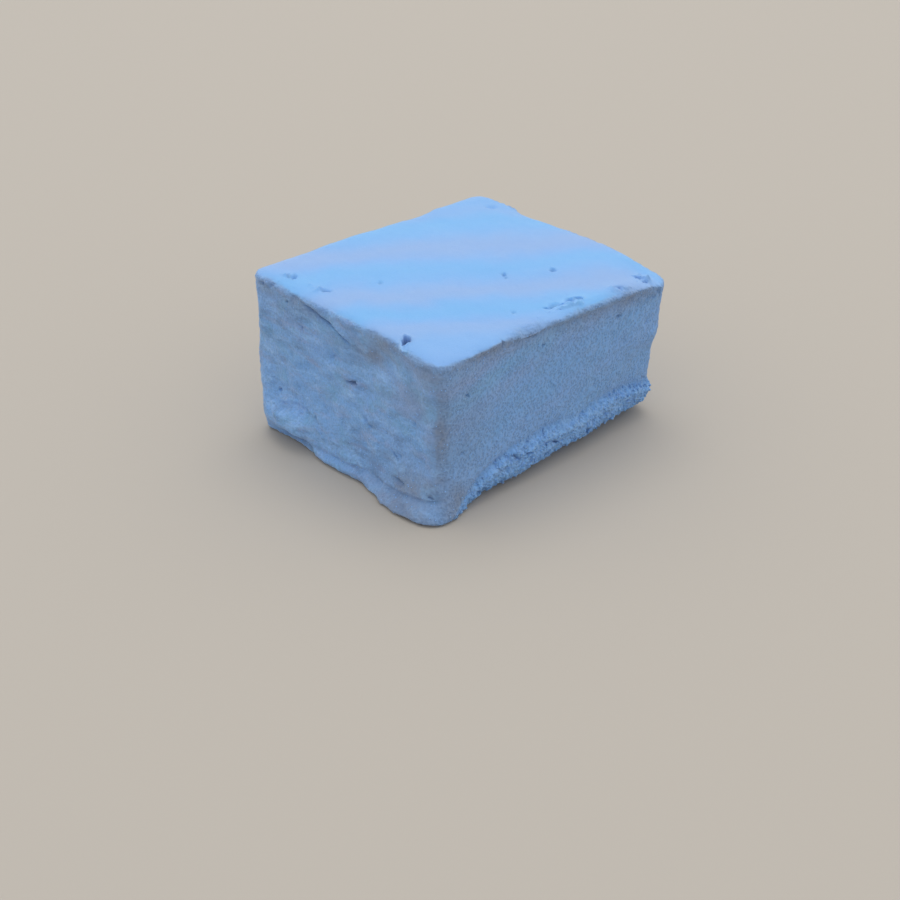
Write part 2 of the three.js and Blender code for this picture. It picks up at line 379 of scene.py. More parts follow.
class Crease:
    """A groove along a line of (along, depth) places on one side, and the swell of foam next to it.

    width and depth are the groove's. The swell stands out by lap, its crest lap_at below the groove, or above
    it where lap_at is negative, and it spreads over about lap_reach. shade is how dark each millimetre of the
    groove's depth makes it.
    """

    def __init__(self, side, line, width, depth, lap=0.0, lap_at=0.0, lap_reach=1.0, shade=0.55):
        self.side = side
        self.line = np.array(line)
        self.width = width
        self.depth = depth
        self.lap = lap
        self.lap_at = lap_at
        self.lap_reach = lap_reach
        self.shade = shade

    def distance(self, block):
        """How far each vertex is from the line, in millimetres."""
        places = block.places(self.side)
        nearest = np.full(len(places), 1e9)
        for start, end in zip(self.line, self.line[1:]):
            step = end - start
            share = np.clip(((places - start) @ step) / (step @ step), 0.0, 1.0)
            nearest = np.minimum(nearest, np.linalg.norm(places - start - share[:, None] * step, axis=1))
        return nearest

    def groove_and_swell(self, block):
        """How deep the groove goes and how far the swell stands out, at each vertex."""
        along, down = block.places(self.side).T
        first, last = self.line[0][0], self.line[-1][0]
        shown = smooth(block.facing(self.side), 0.2, 0.6)
        shown = shown * smooth(along, first - 1.0, first + 3.0)
        shown = shown * (1.0 - smooth(along, last - 2.0, last + 0.6))
        uneven = 1.0 + 0.3 * np.sin(0.7 * along + 0.5) * np.sin(1.1 * along)
        groove = self.depth * uneven * np.exp(-((self.distance(block) / self.width) ** 2)) * shown
        crest = np.interp(along, self.line[:, 0], self.line[:, 1]) + self.lap_at
        swell = self.lap * uneven * hump(down, crest, self.lap_reach) * shown
        return groove, swell


CREASES = [
    # the fold on the -Y side, where the skin laps over the foam
    Crease(
        "front",
        [(-11.5, 1.5), (-9.6, 2.1), (-6.7, 2.6), (-4.4, 3.1), (-2.7, 3.6), (-1.1, 4.3), (0.8, 5.2)],
        width=0.32,
        depth=0.85,
        lap=0.4,
        lap_at=-0.9,
        lap_reach=0.8,
        shade=0.9,
    ),
    # the undercut of the mound
    Crease(
        "front",
        [(-20.5, 28.6), (-17.0, 29.2), (-14.5, 29.3), (-12.3, 29.0), (-8.0, 29.2)],
        width=0.9,
        depth=1.0,
        shade=0.75,
    ),
    # the crease over the mound
    Crease(
        "front",
        [(-19.5, 24.6), (-16.1, 23.0), (-13.4, 22.2), (-10.2, 22.3), (-7.4, 23.1), (-4.5, 25.0)],
        width=0.5,
        depth=0.3,
        lap=0.3,
        lap_at=1.1,
        lap_reach=0.8,
        shade=0.4,
    ),
    # the line of foam along the foot
    Crease(
        "front",
        [(-9.0, 28.4), (-4.0, 28.2), (1.0, 27.9), (6.5, 27.4)],
        width=0.45,
        depth=0.35,
        lap=0.25,
        lap_at=1.0,
        lap_reach=0.7,
    ),
    # the groove over the lip at the front corner
    Crease(
        "front",
        [(5.0, 27.4), (10.7, 27.6), (15.2, 27.3), (20.0, 26.6), (23.9, 25.6)],
        width=0.45,
        depth=0.6,
        lap=0.35,
        lap_at=1.6,
        lap_reach=0.8,
        shade=0.7,
    ),
    # the top of the ledge on the +X side, which rolls over a groove
    Crease(
        "right",
        [(-20.5, 26.0), (-18.0, 24.8), (-14.2, 23.2), (-8.7, 21.4), (-1.3, 20.7), (2.2, 20.8), (7.1, 21.4),
         (9.5, 20.6), (13.9, 19.9), (17.5, 20.2), (21.7, 20.4), (25.6, 21.0), (31.0, 21.4)],
        width=0.7,
        depth=0.45,
        lap=0.5,
        lap_at=1.3,
        lap_reach=1.0,
    ),
    # the dark line under the skin's edge on the +X side
    Crease(
        "right",
        [(-22.0, 2.0), (-8.0, 1.7), (2.0, 1.9), (12.0, 1.9), (27.0, 2.2)],
        width=0.7,
        depth=0.25,
        lap=0.25,
        lap_at=-1.2,
        lap_reach=0.6,
    ),
]


def torn_marks(rng):
    """Small pits and nubs, scattered over the torn patches."""
    made = []
    for side, along, up, half_length, half_width, turn, count in TORN_PATCHES:
        angle = math.radians(turn)
        for _ in range(count):
            reach = math.sqrt(rng.random())
            bearing = rng.uniform(0.0, 2.0 * math.pi)
            long_way = half_length * reach * math.cos(bearing)
            cross_way = half_width * reach * math.sin(bearing)
            x = along + long_way * math.cos(angle) - cross_way * math.sin(angle)
            y = up + long_way * math.sin(angle) + cross_way * math.cos(angle)
            size = rng.uniform(0.55, 1.0)
            depth = rng.choice((0.5, 0.3, -0.3, -0.25, -0.2))
            made.append(Mark(side, x, y, (size * 1.6, size * 0.8), depth, rng.uniform(0, 180), 0.1))
    return made


def rim_marks(rng):
    """Nicks and nubs along the rims, where the skin meets the cut sides."""
    made = []
    for side in ("front", "right", "back", "left"):
        length = (HIGH - LOW).dot(SIDES[side][1]) / MM
        place = -0.46 * length
        while place < 0.46 * length:
            size = rng.uniform(0.8, 1.6)
            depth = rng.choice((0.25, 0.15, -0.15, -0.2))
            tilt = rng.uniform(-20, 20)
            made.append(Mark(side, place, rng.uniform(0.8, 2.4), (size * 1.6, size * 0.8), depth, tilt, 0.0))
            place += rng.uniform(2.5, 5.5)
    return made


class Block:
    """The block's surface as arrays: where each vertex lies on each side, and how far it belongs to it."""

    def __init__(self, mesh):
        self.points = read_points(mesh) / MM
        self.normals = read_points(mesh, "normal")
        self.rim = self.top_height()

    def top_height(self):
        """The height of the poured top over each vertex, as a twisted plane through the top's vertices."""
        x, y, z = self.points.T
        terms = np.column_stack([np.ones_like(x), x, y, x * y])
        on_top = self.normals[:, 2] > 0.9
        twist = np.linalg.lstsq(terms[on_top], z[on_top], rcond=None)[0]
        return terms @ twist

    def facing(self, side):
        """How squarely each vertex faces the way that the side does, from -1 to 1."""
        return self.normals @ np.array(SIDES[side][0])

    def places(self, side):
        """Each vertex's place on the side, as (along, up). Except on the top, up is a depth below the rim."""
        along = self.points @ np.array(SIDES[side][1])
        up = self.points[:, 1] if side == "top" else self.rim - self.points[:, 2]
        return np.column_stack([along, up])


def near_marks(block, marks):
    """Which vertices lie in or near one of the marks or narrow creases."""
    near = np.zeros(len(block.points), bool)
    for mark in marks:
        close = mark.distance(block.places(mark.side)) < 1.4
        near |= close & (block.facing(mark.side) > 0.2)
    for crease in CREASES:
        if crease.width < 0.6:
            near |= (crease.distance(block) < 2.5 * crease.width) & (block.facing(crease.side) > 0.2)
    return near


LIP_HEIGHT = 0.12  # how high the lip round a mark stands, as a share of the mark's depth
LIP_PLACE = 1.15  # where the lip's crest lies, where 1 is the mark's outline
LIP_WIDTH = 0.22
# painted shade: narrow marks get it inside, darkest at the depth below
NARROW_MARK = 1.2  # marks with a half width below this look dark inside, in millimetres
DARK_DEPTH = 1.4  # the depth at which they are darkest


def press_marks(mesh, block, marks):
    """Presses the marks and creases into the mesh, and returns how much painted shade each vertex gets in the
    pits and grooves, from 0 to 1.
    """
    points = read_points(mesh) / MM
    painted_shade = np.zeros(len(points))
    for mark in marks:
        shown = smooth(block.facing(mark.side), 0.1, 0.5)
        reach = mark.distance(block.places(mark.side))
        inside = (1.0 - smooth(reach, mark.edge, 1.0)) * shown
        # a soft mark, which has no flat floor, has no lip either
        raised = LIP_HEIGHT * hump(reach, LIP_PLACE, LIP_WIDTH) * shown if mark.edge > 0.0 else 0.0
        outward = np.array(SIDES[mark.side][0])
        points -= np.outer(mark.depth * inside - abs(mark.depth) * raised, outward)
        # painted shade inside narrow marks, darker as they go deeper
        if min(mark.size) < NARROW_MARK:
            painted_shade = np.maximum(painted_shade, inside * min(1.0, mark.depth / DARK_DEPTH))
    for crease in CREASES:
        groove, swell = crease.groove_and_swell(block)
        points -= np.outer(groove - swell, np.array(SIDES[crease.side][0]))
        # painted shade along each crease's groove
        painted_shade = np.maximum(painted_shade, np.minimum(1.0, crease.shade * groove))

    points[:, 2] = np.maximum(points[:, 2], 0.0)
    mesh.vertices.foreach_set("co", (points * MM).astype(np.float32).ravel())
    mesh.update()
    return painted_shade


# ---------------------------------------------------------------------------------------------------------
# Masks: where the surface is skin, ledge, bare foam or thick sugar, and where shade is painted
# ---------------------------------------------------------------------------------------------------------

# Places where the sugar has rubbed off and the warm grey foam shows, and places of painted shade in the same
# warm grey: the soft band under the skin's edge along the rims, and the hollow under the top edge of the -Y
# side. Each is a (side, along, depth, half length, half height, strength).
BARE_AND_SHADED_SPOTS = [
    # painted shade in the hollow under the top edge of the -Y side
    ("front", 8.5, 2.4, 5.4, 2.2, 1.0),
    ("front", 5.4, 5.2, 3.6, 2.4, 1.0),
    ("front", 2.4, 8.4, 2.4, 1.4, 0.4),
    ("front", 10.6, 10.6, 2.6, 1.4, 0.6),
    ("front", 20.0, 3.0, 4.6, 3.0, 0.8),
    ("front", 17.0, 9.0, 5.0, 3.0, 0.5),
    ("front", 13.8, 25.4, 3.4, 1.0, 0.9),
    ("front", 20.0, 24.4, 4.0, 2.4, 1.0),
    ("front", 15.0, 26.4, 4.5, 1.2, 1.0),
    ("front", 10.4, 22.6, 2.6, 1.0, 0.6),
    ("front", 17.5, 25.4, 6.5, 2.8, 1.0),
    ("front", 16.5, 28.8, 12.0, 3.2, 1.0),
    ("front", 15.5, 23.4, 4.0, 2.0, 0.6),
    # painted shade under the skin's edge along the -Y rim
    ("front", -11.0, 2.2, 5.5, 1.4, 0.8),
    ("front", -20.4, 1.9, 3.0, 1.4, 0.7),
    ("front", -2.6, 5.6, 3.0, 1.4, 0.4),
    ("front", 23.4, 16.0, 2.8, 12.0, 1.0),
    # painted shade under the skin's edge along the +X rim, and bare foam
    ("right", -13.5, 1.6, 15.0, 1.6, 0.9),
    ("right", -26.0, 4.0, 2.4, 4.0, 0.7),
    ("right", -26.0, 15.0, 2.8, 12.0, 1.0),
    ("right", -21.5, 15.0, 6.0, 9.0, 0.4),
    ("right", -23.5, 27.0, 5.0, 4.5, 1.0),
    ("right", 7.0, 1.8, 10.0, 1.6, 0.8),
    ("right", 19.0, 2.0, 8.0, 1.7, 0.9),
    ("back", -4.4, 3.0, 6.0, 1.6, 0.7),
    ("back", 13.6, 22.0, 5.0, 3.0, 0.6),
    ("back", 11.6, 1.4, 8.0, 1.4, 0.6),
    ("left", 8.5, 1.6, 12.0, 1.6, 0.7),
    ("left", -15.5, 1.6, 8.0, 1.4, 0.6),
    ("left", -17.5, 16.0, 3.5, 5.0, 0.5),
]
# Places where the skin has worn off the rims.
WORN_RIMS = [
    ("top", 22.9, -6.2, 1.3, 4.2, 1.0),
    ("top", -19.5, -27.0, 2.4, 0.8, 0.8),
    ("top", 1.5, -26.6, 4.5, 0.7, 0.6),
    ("top", 23.4, 18.0, 0.9, 3.0, 0.7),
]
# Places where the sugar lies thick.
SUGAR_SPOTS = [
    ("front", 8.3, 8.6, 3.0, 1.2, 0.8),
    ("front", 2.4, 13.6, 3.2, 1.0, 0.9),
    ("front", -2.4, 10.6, 2.4, 1.0, 0.6),
    ("front", -13.3, 24.4, 5.4, 2.2, 1.0),
    ("top", 21.2, 5.2, 1.6, 4.0, 0.7),
    ("top", 21.4, 24.4, 1.6, 1.8, 0.6),
    ("front", 13.9, 0.8, 1.8, 0.9, 0.9),
    ("front", -7.6, 23.6, 4.0, 1.4, 0.6),
    ("front", -4.0, 25.8, 4.6, 1.5, 0.9),
    ("front", 2.0, 27.4, 4.4, 0.9, 0.8),
    ("front", 5.5, 24.6, 2.4, 1.2, 0.5),
    ("front", 13.6, 22.8, 1.8, 0.8, 0.5),
    ("front", -19.4, 15.0, 3.0, 2.6, 0.4),
    ("right", 8.5, 22.8, 20.0, 2.2, 0.9),
    ("right", -11.5, 25.0, 6.0, 1.8, 0.8),
    ("back", -0.4, 14.0, 5.0, 4.0, 0.8),
    ("back", -16.4, 12.0, 3.0, 4.0, 0.7),
    ("left", -3.5, 8.0, 5.0, 3.0, 0.6),
    ("left", 14.5, 18.0, 4.0, 3.0, 0.6),
]
# Places where the marbling shows on the cut sides.
STREAKY_SPOTS = [
    ("right", -19.5, 5.0, 13.0, 5.0, 0.9),
    ("right", 0.5, 3.0, 12.0, 3.0, 0.4),
    ("front", 17.6, 8.0, 8.0, 7.0, 0.6),
    ("front", -14.4, 5.0, 8.0, 4.0, 0.3),
    ("back", 7.6, 8.0, 10.0, 6.0, 0.7),
    ("left", 10.5, 9.0, 12.0, 6.0, 0.6),
]


def spots(block, table):
    """A mask of soft spots, each (side, along, depth, half length, half height, strength)."""
    mask = np.zeros(len(block.points))
    for side, along, depth, half_length, half_height, strength in table:
        places = block.places(side)
        reach = np.hypot((places[:, 0] - along) / half_length, (places[:, 1] - depth) / half_height)
        mask = np.maximum(mask, strength * np.exp(-(reach**2)) * smooth(block.facing(side), 0.1, 0.6))
    return mask


# How high the ledge reaches on the +X side, as (y, height) places.
LEDGE_TOP = [
    (-25.0, 0.0), (-22.0, 2.2), (-18.0, 4.2), (-14.0, 5.6), (-8.7, 7.2), (-1.3, 7.8), (7.0, 6.7), (9.5, 7.6),
    (14.0, 8.2), (21.7, 7.5), (30.0, 6.5),
]


def ledge_mask(block):
    """1 on the ragged ledges of dragged foam at the foot of the sides."""
    x, y, z = block.points.T
    upright = 1.0 - smooth(block.normals[:, 2], 0.75, 0.95)
    # how high the ledge reaches on each side that has one, in millimetres
    tops = {
        "right": np.interp(y, *np.array(LEDGE_TOP).T),
        "left": 3.8 + 2.2 * smooth(y, -20, 18),
        "back": 4.6 * (1.0 - smooth(x, -2, 14)),
    }
    mask = np.zeros(len(x))
    for side, height in tops.items():
        beside = smooth(block.facing(side) + 0.5 * smooth(block.normals[:, 2], 0.3, 0.7), 0.3, 0.7)
        mask = np.maximum(mask, beside * (1.0 - smooth(z, height - 0.4, height + 0.9)))
    mask *= 1.0 - smooth(block.facing("front"), 0.25, 0.5)
    return mask * upright * (block.normals[:, 2] > -0.9)


def wavering(points, size):
    """Noise of a given size in millimetres at each point, from about -1 to 1."""
    return np.array([noise.fractal(Vector(point / size), 1.0, 2.0, 3) for point in points])


def paint_masks(mesh, block):
    """Stores every mask that the relief, the scattered lumps and the materials read."""
    # the skin covers what faces up, to a wavering edge at the rim, and nothing near the foot
    facing_up = block.normals[:, 2] + 0.09 * wavering(block.points, 1.7)
    edge = 0.82 - 0.12 * np.abs(block.normals[:, 0])
    skin = smooth(facing_up, edge - 0.09, edge + 0.09) * smooth(block.points[:, 2], 20.0, 24.0)
    skin *= 1.0 - spots(block, WORN_RIMS)
    write_mask(mesh, "skin", skin)
    write_mask(mesh, "ledge", ledge_mask(block))
    # bare foam, and painted shade under the rims and the -Y side's top edge
    write_mask(mesh, "bare_and_shade", spots(block, BARE_AND_SHADED_SPOTS))
    write_mask(mesh, "sugar", spots(block, SUGAR_SPOTS))
    write_mask(mesh, "streaky", np.maximum(skin, spots(block, STREAKY_SPOTS)))
    # how deep in the foam each place lies, in metres, which is what the marbling needs
    depth = (block.rim - block.points[:, 2]) * MM
    write_mask(mesh, "depth", depth * (1.0 - skin))
    # the knife cut the +X and -X sides cleanly, and the other two are dustier and more lumpy
    clean = smooth(np.abs(block.normals[:, 0]), 0.5, 0.8)
    write_mask(mesh, "clean_cut", clean)


# ---------------------------------------------------------------------------------------------------------
# The block's mesh
# ---------------------------------------------------------------------------------------------------------


def fine_block(name):
    """An evenly and finely meshed copy of the cut block, with its facets rounded off."""
    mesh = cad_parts["marshmallow"].data.copy()
    mesh.materials.clear()
    shape = bmesh.new()
    shape.from_mesh(mesh)
    bmesh.ops.remove_doubles(shape, verts=shape.verts, dist=0.001 * MM)
    bmesh.ops.join_triangles(shape, faces=shape.faces, angle_face_threshold=0.7, angle_shape_threshold=0.7)
    shape.to_mesh(mesh)
    shape.free()
    block = add_object(name, mesh)
    rounding = block.modifiers.new("rounding", "SUBSURF")
    rounding.levels = rounding.render_levels = 2
    even = block.modifiers.new("even_mesh", "REMESH")
    even.mode = "VOXEL"
    even.voxel_size = MESH_STEP
    return baked(block)


def refine(mesh, near):
    """Halves the edges near the marks, so that small marks keep a crisp outline."""
    shape = bmesh.new()
    shape.from_mesh(mesh)
    shape.verts.ensure_lookup_table()
    chosen = {v for v, wanted in zip(shape.verts, near) if wanted}
    edges = [e for e in shape.edges if e.verts[0] in chosen and e.verts[1] in chosen]
    bmesh.ops.subdivide_edges(shape, edges=edges, cuts=1, use_grid_fill=True, smooth=0.5)
    shape.to_mesh(mesh)
    shape.free()


def relief_tree():
    """Lumps and grain for the cut sides, crumbs for ledges, a faint swell for the skin, and small pits."""
    number = "NodeSocketFloat"
    tree, given, result = new_group(
        "foam_relief",
        "GeometryNodeTree",
        [
            ("Geometry", "NodeSocketGeometry", None),
            ("Dent Size", number, 0.007),
            ("Dent Height", number, 0.0004),
            ("Lump Size", number, 0.003),
            ("Lump Height", number, 0.0003),
            ("Grain Size", number, 0.0008),
            ("Grain Height", number, 0.0001),
            ("Crumb Size", number, 0.0012),
            ("Crumb Height", number, 0.0005),
            ("Pit Spacing", number, 0.004),
            ("Pit Depth", number, 0.0004),
            ("Material", "NodeSocketMaterial", None),
        ],
        [("Geometry", "NodeSocketGeometry", None)],
    )
    place = add_node(tree, "GeometryNodeInputPosition").outputs[0]
    normal = add_node(tree, "GeometryNodeInputNormal").outputs[0]

    def mask(name):
        reader = add_node(tree, "GeometryNodeInputNamedAttribute", {"Name": name}, data_type="FLOAT")
        return reader.outputs["Attribute"]

    def swell(size, detail, offset):
        """Noise of a given size, from about -1 to 1."""
        scale = sums(tree, "DIVIDE", 1.0, size)
        moved = add_node(tree, "ShaderNodeVectorMath", {0: place, 1: (offset, 0.0, 0.0)}, operation="ADD")
        settings = {"Vector": moved.outputs[0], "Scale": scale, "Detail": detail, "Roughness": 0.55}
        waves = add_node(tree, "ShaderNodeTexNoise", settings).outputs["Fac"]
        return sums(tree, "MULTIPLY_ADD", waves, 4.0, -2.0)

    skin, ledge, clean = mask("skin"), mask("ledge"), mask("clean_cut")
    cut = sums(tree, "SUBTRACT", 1.0, skin)
    dusty = sums(tree, "MULTIPLY_ADD", clean, -0.62, 1.0)

    dents = sums(tree, "MULTIPLY", swell(given["Dent Size"], 1.0, 0.2), given["Dent Height"])
    lumps = sums(tree, "MULTIPLY_ADD", swell(given["Lump Size"], 2.0, 0.0), given["Lump Height"], dents)
    lumps = sums(tree, "MULTIPLY", lumps, sums(tree, "MULTIPLY_ADD", cut, 0.75, 0.25))
    lumps = sums(tree, "MULTIPLY", lumps, dusty)
    grain = sums(tree, "MULTIPLY", swell(given["Grain Size"], 1.0, 0.4), given["Grain Height"])
    grain = sums(tree, "MULTIPLY", grain, sums(tree, "MULTIPLY_ADD", cut, 0.9, 0.1))
    # rounded clumps on the ledges, and fainter ones along the rim where skin gives way to foam
    crumb_scale = sums(tree, "DIVIDE", 1.0, given["Crumb Size"])
    rounded = {"Vector": place, "Scale": crumb_scale, "Detail": 1.0, "Roughness": 0.5}
    clumps = add_node(tree, "ShaderNodeTexVoronoi", rounded, feature="F1").outputs["Distance"]
    tops = sums(tree, "MULTIPLY_ADD", swell(given["Crumb Size"], 2.0, 0.8), 0.5, 0.9)
    crumbs = sums(tree, "MULTIPLY_ADD", clumps, -2.2, tops)
    crumbs = sums(tree, "MULTIPLY", crumbs, given["Crumb Height"])
    rim = sums(tree, "MULTIPLY", sums(tree, "MULTIPLY", skin, cut), 1.4)
    crumbs = sums(tree, "MULTIPLY", crumbs, sums(tree, "MAXIMUM", ledge, rim))

    # small burst bubbles: each point of the surface is pushed in by its distance from the nearest one
    even_cells = {"Vector": place, "Scale": sums(tree, "DIVIDE", 1.0, given["Pit Spacing"])}
    bubbles = add_node(tree, "ShaderNodeTexVoronoi", even_cells, feature="F1")
    away = sums(tree, "MULTIPLY", bubbles.outputs["Distance"], given["Pit Spacing"])
    lottery = add_node(tree, "FunctionNodeSeparateColor", {0: bubbles.outputs["Color"]})
    radius = sums(tree, "MULTIPLY_ADD", lottery.outputs[0], 0.5 * MM, 0.25 * MM)
    share = sums(tree, "DIVIDE", away, radius)
    pits = sums(tree, "SUBTRACT", 1.0, soft_step(tree, share, 0.3, 1.0))
    chosen = sums(tree, "LESS_THAN", lottery.outputs[1], sums(tree, "MULTIPLY_ADD", cut, 0.26, 0.0))
    pits = sums(tree, "MULTIPLY", sums(tree, "MULTIPLY", pits, chosen), given["Pit Depth"])

    height = sums(tree, "ADD", sums(tree, "ADD", lumps, grain), sums(tree, "SUBTRACT", crumbs, pits))
    shift = add_node(tree, "ShaderNodeVectorMath", {0: normal, "Scale": height}, operation="SCALE").outputs[0]
    moved = add_node(tree, "GeometryNodeSetPosition", {"Geometry": given["Geometry"], "Offset": shift})
    deep = sums(tree, "DIVIDE", pits, given["Pit Depth"])
    stored = add_node(
        tree,
        "GeometryNodeStoreNamedAttribute",
        {"Geometry": moved.outputs[0], "Name": "pit", "Value": deep},
        data_type="FLOAT",
        domain="POINT",
    )
    real = add_node(tree, "GeometryNodeRealizeInstances", {0: stored.outputs[0]})
    coating = {"Geometry": real.outputs[0], "Material": given["Material"]}
    coated = add_node(tree, "GeometryNodeSetMaterial", coating)
    tree.links.new(coated.outputs[0], result["Geometry"])
    return tree


SMALL_MARK = 1.0  # the mesh is refined round marks with a half width below this, in millimetres


def make_block(material):
    piece = fine_block("marshmallow_block")
    rng = random.Random(7)
    marks = MARKS + torn_marks(rng) + rim_marks(rng)
    small = [m for m in marks if min(m.size) < SMALL_MARK]
    crisp = [m for m in MARKS if m.edge > 0.0 and min(m.size) < SMALL_MARK]
    block = Block(piece.data)
    refine(piece.data, near_marks(block, small) | (ledge_mask(block) > 0.5))
    refine(piece.data, near_marks(Block(piece.data), crisp))
    block = Block(piece.data)
    paint_masks(piece.data, block)
    values = {
        "Dent Size": 8.0 * MM,
        "Dent Height": 0.40 * MM,
        "Lump Size": 2.6 * MM,
        "Lump Height": 0.20 * MM,
        "Grain Size": 0.95 * MM,
        "Grain Height": 0.09 * MM,
        "Crumb Size": 1.1 * MM,
        "Crumb Height": 0.30 * MM,
        "Pit Spacing": 3.4 * MM,
        "Pit Depth": 0.25 * MM,
        "Material": material,
    }
    with_nodes(piece, relief_tree(), values)
    painted_shade = press_marks(piece.data, block, marks)
    # painted shade in the pits and grooves, which the material mixes into the colour
    write_mask(piece.data, "painted_shade", np.maximum(painted_shade, 0.35 * read_mask(piece.data, "pit")))
    piece.data.shade_smooth()
    return piece


# ---------------------------------------------------------------------------------------------------------
# Crumbs of foam and grains of sugar
# ---------------------------------------------------------------------------------------------------------


FULL_TURN = (6.28, 6.28, 6.28)  # about one turn round each axis


def scatter_tree(name):
    """Scatters small lumps over a surface, denser where its masks are high, and keeps only the lumps."""
    number = "NodeSocketFloat"
    tree, given, result = new_group(
        name,
        "GeometryNodeTree",
        [
            ("Geometry", "NodeSocketGeometry", None),
            ("On Cut Sides", number, 0.0),
            ("On Ledges", number, 0.0),
            ("On Thick Sugar", number, 0.0),
            ("Smallest", number, 0.0001),
            ("Largest", number, 0.0003),
            ("Facets", "NodeSocketInt", 1),
            ("Unevenness", number, 0.2),
            ("Seed", "NodeSocketInt", 1),
            ("Material", "NodeSocketMaterial", None),
        ],
        [("Geometry", "NodeSocketGeometry", None)],
    )

    def mask(attribute):
        reader = add_node(tree, "GeometryNodeInputNamedAttribute", {"Name": attribute}, data_type="FLOAT")
        return reader.outputs["Attribute"]

    ledges = sums(tree, "MULTIPLY", mask("ledge"), given["On Ledges"])
    thick = sums(tree, "MULTIPLY", mask("sugar"), given["On Thick Sugar"])
    on_cuts = sums(tree, "MULTIPLY", sums(tree, "SUBTRACT", 1.0, mask("skin")), given["On Cut Sides"])
    density = sums(tree, "ADD", sums(tree, "ADD", ledges, thick), on_cuts)
    normal = add_node(tree, "GeometryNodeInputNormal").outputs[0]
    tilt = add_node(tree, "ShaderNodeSeparateXYZ", {0: normal}).outputs[2]
    # nothing lies on the base, which faces down
    off_base = sums(tree, "GREATER_THAN", tilt, -0.8)
    density = sums(tree, "MULTIPLY", density, off_base)
    spread = {"Mesh": given["Geometry"], "Density": density, "Seed": given["Seed"]}
    points = add_node(tree, "GeometryNodeDistributePointsOnFaces", spread, distribute_method="RANDOM")

    lump = add_node(tree, "GeometryNodeMeshIcoSphere", {"Radius": 1.0, "Subdivisions": given["Facets"]})
    size = add_node(
        tree,
        "FunctionNodeRandomValue",
        {"Min": given["Smallest"], "Max": given["Largest"], "Seed": given["Seed"]},
        data_type="FLOAT",
    )
    turn = add_node(
        tree,
        "FunctionNodeRandomValue",
        {"Min": (0.0, 0.0, 0.0), "Max": FULL_TURN, "Seed": given["Seed"]},
        data_type="FLOAT_VECTOR",
    )
    placed = add_node(
        tree,
        "GeometryNodeInstanceOnPoints",
        {"Points": points.outputs["Points"], "Instance": lump.outputs["Mesh"], "Rotation": turn.outputs[0]},
    )
    tree.links.new(number_output(size), placed.inputs["Scale"])
    real = add_node(tree, "GeometryNodeRealizeInstances", {0: placed.outputs[0]})

    place = add_node(tree, "GeometryNodeInputPosition").outputs[0]
    scale = sums(tree, "DIVIDE", 1.2, given["Largest"])
    bumpy = add_node(tree, "ShaderNodeTexNoise", {"Vector": place, "Scale": scale, "Detail": 1.0})
    centring = {0: bumpy.outputs["Color"], 1: (0.5, 0.5, 0.5)}
    centred = add_node(tree, "ShaderNodeVectorMath", centring, operation="SUBTRACT")
    reach = sums(tree, "MULTIPLY", given["Largest"], given["Unevenness"])
    shift = add_node(tree, "ShaderNodeVectorMath", {0: centred.outputs[0], "Scale": reach}, operation="SCALE")
    bent = {"Geometry": real.outputs[0], "Offset": shift.outputs[0]}
    uneven = add_node(tree, "GeometryNodeSetPosition", bent)
    coating = {"Geometry": uneven.outputs[0], "Material": given["Material"]}
    coated = add_node(tree, "GeometryNodeSetMaterial", coating)
    tree.links.new(coated.outputs[0], result["Geometry"])
    return tree


def number_output(node):
    """The number output of a Random Value node that gives numbers."""
    return next(s for s in node.outputs if s.enabled)


def scattered(name, block, tree, values):
    piece = add_object(name, block.data.copy())
    with_nodes(piece, tree, values)
    points = read_points(piece.data)
    points[:, 2] = np.maximum(points[:, 2], 0.0)
    piece.data.vertices.foreach_set("co", points.astype(np.float32).ravel())
    piece.data.shade_smooth()
    return piece


# ---------------------------------------------------------------------------------------------------------
# Materials
# ---------------------------------------------------------------------------------------------------------

# the poured skin, then the cut sides, then what lies on them, then the dark blue of the painted shade in
# pits, grooves and pores, which also makes the specks and dull patches
BLUE = (0.195, 0.425, 0.845, 1.0)
LILAC = (0.255, 0.425, 0.765, 1.0)
TEAL = (0.165, 0.45, 0.84, 1.0)
WARM_GREY = (0.205, 0.265, 0.39, 1.0)
SUGAR_BLUE = (0.29, 0.53, 0.92, 1.0)
LEDGE_BLUE = (0.20, 0.47, 0.95, 1.0)
CUT_BLUE = (0.19, 0.41, 0.82, 1.0)
CUT_TEAL = (0.18, 0.41, 0.68, 1.0)
CUT_LILAC = (0.27, 0.37, 0.64, 1.0)
SHADE_AND_SPECK_BLUE = (0.08, 0.16, 0.32, 1.0)
GRAIN_SHADE = (0.21, 0.42, 0.80, 1.0)
GRAIN_LIGHT = (0.28, 0.50, 0.88, 1.0)

# How many waves each pattern has in a metre, so 300 makes blotches about 3 mm across.
BLOTCHES = 300.0
WISPS = 300.0
ROSY_PATCHES = 260.0
GREEN_PATCHES = 240.0
DULL_PATCHES = 210.0
FINE_SPECKS = 2600.0
PORE_WALLS = 2100.0
SUGAR_DUST = 5200.0
SUGAR_CLUMPS = 600.0
STREAK_BENDS = 60.0


def mixed(tree, share, first, second):
    """One colour over another, as a Mix node."""
    settings = {0: share, 6: first, 7: second}
    return add_node(tree, "ShaderNodeMix", settings, data_type="RGBA").outputs[2]


def noise_value(tree, place, scale, detail=2.0, roughness=0.5):
    settings = {"Vector": place, "Scale": scale, "Detail": detail, "Roughness": roughness}
    return add_node(tree, "ShaderNodeTexNoise", settings).outputs["Fac"]


